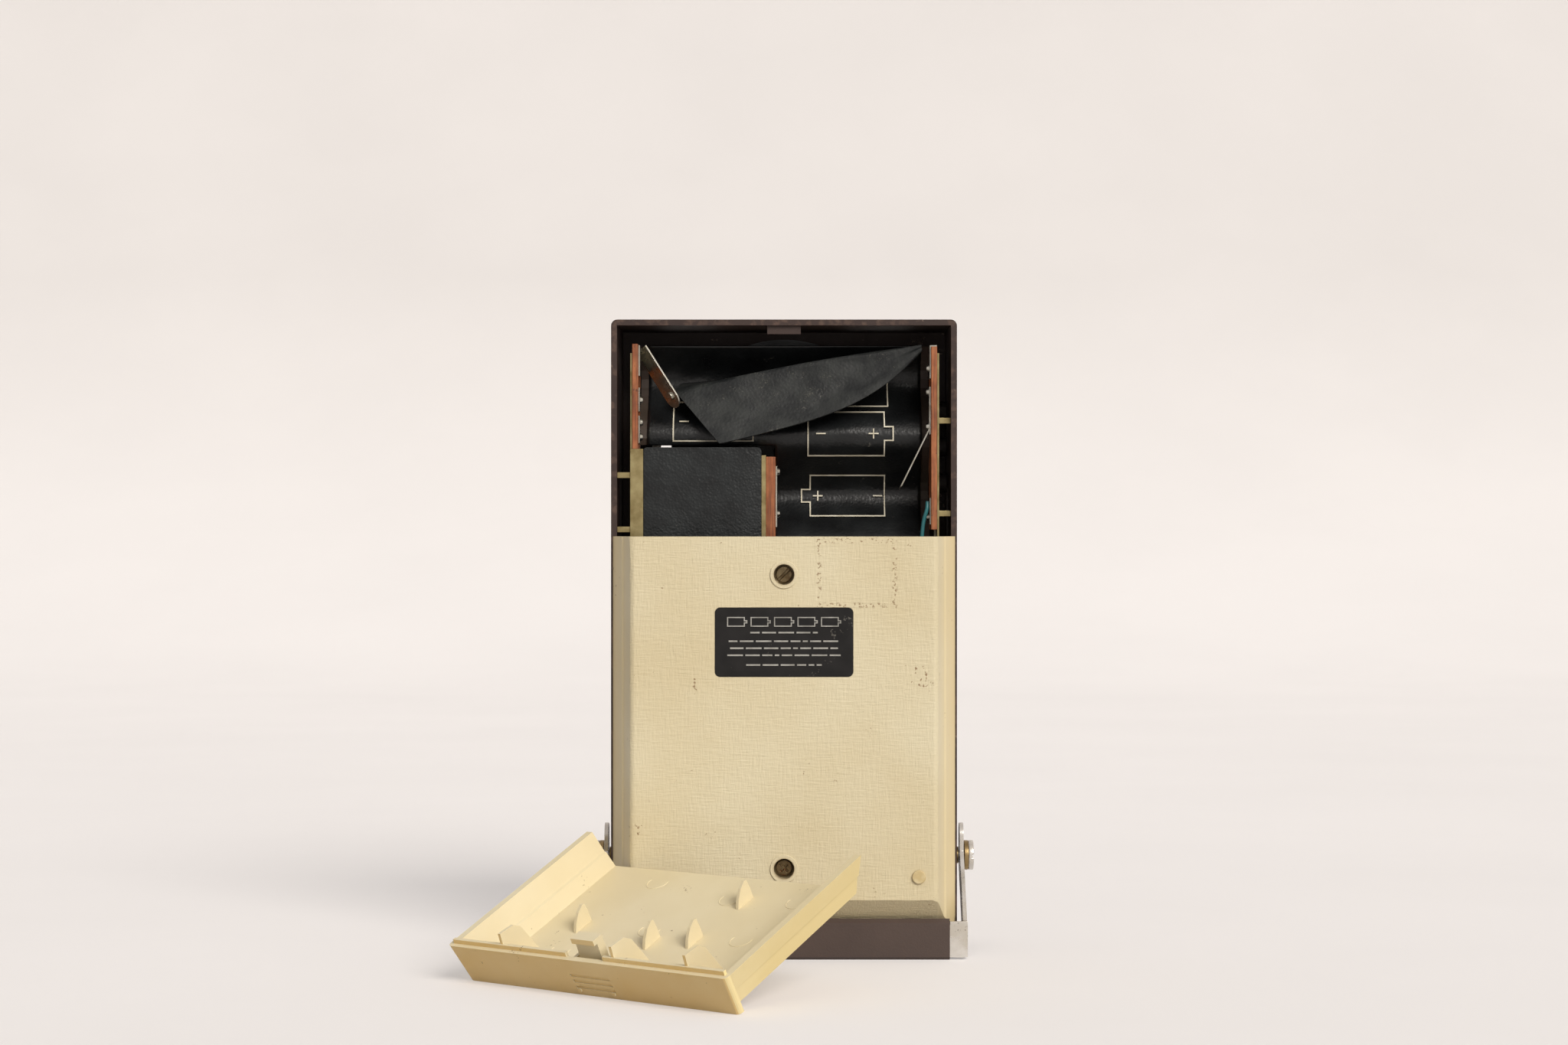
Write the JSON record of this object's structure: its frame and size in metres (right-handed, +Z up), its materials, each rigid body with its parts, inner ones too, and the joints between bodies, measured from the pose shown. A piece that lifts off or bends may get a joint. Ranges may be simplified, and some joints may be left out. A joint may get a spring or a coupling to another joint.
{
  "type": "cassette recorder",
  "caption": "Portable cassette recorder standing on its key end, battery door taken off and leaning in front, with an open cell bay, folded handle, piano keys and hinged cassette lid.",
  "frame": {"origin": "middle of the flat foot of the key end, on the ground", "axes": "+Z up along the length of the housing, +Y from the back panel towards the front face, +X to the right as the back is looked at"},
  "size_m": [0.1913, 0.2006, 0.239],
  "materials": {
    "housing_plastic": "fine grained dark brown moulding",
    "cover_plastic": "cream moulding with a woven grain",
    "foot_plastic": "smooth cream pegs",
    "door_plastic": "smooth cream moulding, seen from inside",
    "screw_steel": "dull plated steel with some rust",
    "label_enamel": "black enamel plate with a thin silver border",
    "trim_aluminium": "brushed trim sheet",
    "speaker_steel": "grey pressed frame",
    "cone_paper": "dark felted paper",
    "well_plastic": "dark moulding",
    "deck_steel": "plated sheet steel",
    "board_laminate": "brown laminate",
    "board_component": "mixed small components",
    "black_leather_cloth": "black leather cloth",
    "motor_steel": "drawn steel can",
    "pulley_brass": "turned",
    "belt_rubber": "matt black",
    "flywheel_metal": "machined",
    "bright_steel": "ground bright",
    "spindle_plastic": "pale moulding",
    "head_metal": "polished",
    "record_red": "red moulding",
    "key_cream": "cream moulding",
    "window_clear": "clear sheet",
    "knob_black": "black moulding",
    "needle_red": "red painted pointer",
    "contact_laminate": "red-brown pressed laminate",
    "contact_nickel": "nickel plated",
    "bracket_brass": "olive passivated sheet",
    "floor_plastic": "brown moulding",
    "liner_black": "black leather cloth sheet",
    "wire_teal": "teal insulation",
    "handle_chrome": "polished plating",
    "grip_plastic": "brown grained moulding",
    "washer_brass": "plain washers and spacers"
  },
  "bodies": {
    "recorder": {"front_housing": "housing_plastic", "rear_cover": "cover_plastic", "case_screws": "screw_steel", "cover_feet": "foot_plastic", "label_plate": "label_enamel", "speaker_grille": "trim_aluminium", "speaker_frame": "speaker_steel", "speaker_cone": "cone_paper", "control_strip": "trim_aluminium", "cassette_well": "well_plastic", "chassis_plate": "deck_steel", "chassis_pillars": "deck_steel", "circuit_board": "board_laminate", "board_parts": "board_component", "motor_case": "black_leather_cloth", "drive_motor": "motor_steel", "drive_belt": "belt_rubber", "capstan_bearing": "pulley_brass", "key_shaft": "bright_steel", "key_springs": "bright_steel", "lid_pin": "bright_steel", "level_meter": "well_plastic", "meter_window": "window_clear", "microphone": "motor_steel", "jack_sockets": "well_plastic", "contact_boards": "contact_laminate", "contact_plates": "contact_nickel", "contact_springs": "contact_nickel", "bay_brackets": "bracket_brass", "bay_floor": "floor_plastic", "battery_liner": "liner_black", "liner_flap": "liner_black", "battery_lead": "wire_teal", "handle_screws": "handle_chrome", "handle_washers": "washer_brass"},
    "handle": {"handle_frame": "handle_chrome", "handle_grip": "grip_plastic"},
    "door": {"battery_door": "door_plastic", "door_feet": "foot_plastic"},
    "lid": {"cassette_lid": "housing_plastic", "lid_window": "window_clear"},
    "record_key": {"key_record": "record_red"},
    "rewind_key": {"key_rewind": "key_cream"},
    "play_key": {"key_play": "key_cream"},
    "forward_key": {"key_forward": "key_cream"},
    "stop_key": {"key_stop": "key_cream"},
    "pause_key": {"key_pause": "key_cream"},
    "volume": {"volume_slider": "knob_black"},
    "tone": {"tone_slider": "knob_black"},
    "needle": {"meter_needle": "needle_red"},
    "flywheel_unit": {"flywheel": "flywheel_metal", "capstan_shaft": "bright_steel"},
    "pulley": {"motor_pulley": "pulley_brass"},
    "supply_reel": {"supply_spindle": "spindle_plastic"},
    "takeup_reel": {"takeup_spindle": "spindle_plastic"},
    "head_bridge": {"head_plate": "deck_steel", "tape_heads": "head_metal"},
    "pinch_lever": {"pinch_arm": "deck_steel"},
    "pinch_wheel": {"pinch_roller": "belt_rubber"}
  },
  "joints": [
    {"name": "handle_swing", "type": "hinge", "parent": "recorder", "child": "handle", "pos_m": [0, -0.017, 0.0356], "axis": [1, 0, 0], "range_deg": [0, 45]},
    {"name": "door_lift", "type": "slide", "parent": "recorder", "child": "door", "axis": [0, 0, 1], "range_m": [0, 0.25]},
    {"name": "lid_open", "type": "hinge", "parent": "recorder", "child": "lid", "pos_m": [0, 0.0085, 0.0608], "axis": [-1, 0, 0], "range_deg": [0, 50]},
    {"name": "record_press", "type": "hinge", "parent": "recorder", "child": "record_key", "pos_m": [0, -0.005, 0.0445], "axis": [-1, 0, 0], "range_deg": [0, 8], "stiffness_Nm_per_rad": 0.15, "springref_deg": -5.73},
    {"name": "rewind_press", "type": "hinge", "parent": "recorder", "child": "rewind_key", "pos_m": [0, -0.005, 0.0445], "axis": [-1, 0, 0], "range_deg": [0, 8], "stiffness_Nm_per_rad": 0.15, "springref_deg": -5.73},
    {"name": "play_press", "type": "hinge", "parent": "recorder", "child": "play_key", "pos_m": [0, -0.005, 0.0445], "axis": [-1, 0, 0], "range_deg": [0, 8], "stiffness_Nm_per_rad": 0.15, "springref_deg": -5.73},
    {"name": "forward_press", "type": "hinge", "parent": "recorder", "child": "forward_key", "pos_m": [0, -0.005, 0.0445], "axis": [-1, 0, 0], "range_deg": [0, 8], "stiffness_Nm_per_rad": 0.15, "springref_deg": -5.73},
    {"name": "stop_press", "type": "hinge", "parent": "recorder", "child": "stop_key", "pos_m": [0, -0.005, 0.0445], "axis": [-1, 0, 0], "range_deg": [0, 8], "stiffness_Nm_per_rad": 0.15, "springref_deg": -5.73},
    {"name": "pause_press", "type": "hinge", "parent": "recorder", "child": "pause_key", "pos_m": [0, -0.005, 0.0445], "axis": [-1, 0, 0], "range_deg": [0, 8], "stiffness_Nm_per_rad": 0.15, "springref_deg": -5.73},
    {"name": "volume_slide", "type": "slide", "parent": "recorder", "child": "volume", "axis": [1, 0, 0], "range_m": [-0.008, 0.008]},
    {"name": "tone_slide", "type": "slide", "parent": "recorder", "child": "tone", "axis": [1, 0, 0], "range_m": [-0.008, 0.008]},
    {"name": "needle_swing", "type": "hinge", "parent": "recorder", "child": "needle", "pos_m": [0.04, 0.005, 0.0453], "axis": [0, -1, 0], "range_deg": [0, 60], "stiffness_Nm_per_rad": 0.00001, "springref_deg": -28.65},
    {"name": "flywheel_spin", "type": "hinge", "parent": "recorder", "child": "flywheel_unit", "pos_m": [-0.026, -0.012, 0.0725], "axis": [0, 1, 0], "continuous": true},
    {"name": "pulley_spin", "type": "hinge", "parent": "recorder", "child": "pulley", "pos_m": [-0.03075, -0.012, 0.166], "axis": [0, 1, 0], "continuous": true},
    {"name": "supply_spin", "type": "hinge", "parent": "recorder", "child": "supply_reel", "pos_m": [0.02125, -0.006, 0.101], "axis": [0, 1, 0], "continuous": true},
    {"name": "takeup_spin", "type": "hinge", "parent": "recorder", "child": "takeup_reel", "pos_m": [-0.02125, -0.006, 0.101], "axis": [0, 1, 0], "continuous": true},
    {"name": "head_shift", "type": "slide", "parent": "recorder", "child": "head_bridge", "axis": [0, 0, 1], "range_m": [0, 0.004]},
    {"name": "pinch_swing", "type": "hinge", "parent": "recorder", "child": "pinch_lever", "pos_m": [-0.044, -0.006, 0.057], "axis": [0, -1, 0], "range_deg": [0, 8]},
    {"name": "roller_spin", "type": "hinge", "parent": "pinch_lever", "child": "pinch_wheel", "pos_m": [-0.026, -0.003, 0.0635], "axis": [0, 1, 0], "continuous": true}
  ],
  "couplings": [
    {"joint": "pulley_spin", "follows": "flywheel_spin", "ratio": 5.5},
    {"joint": "head_shift", "follows": "play_press", "m_per_rad": 0.0286},
    {"joint": "pinch_swing", "follows": "play_press", "ratio": 1}
  ]
}
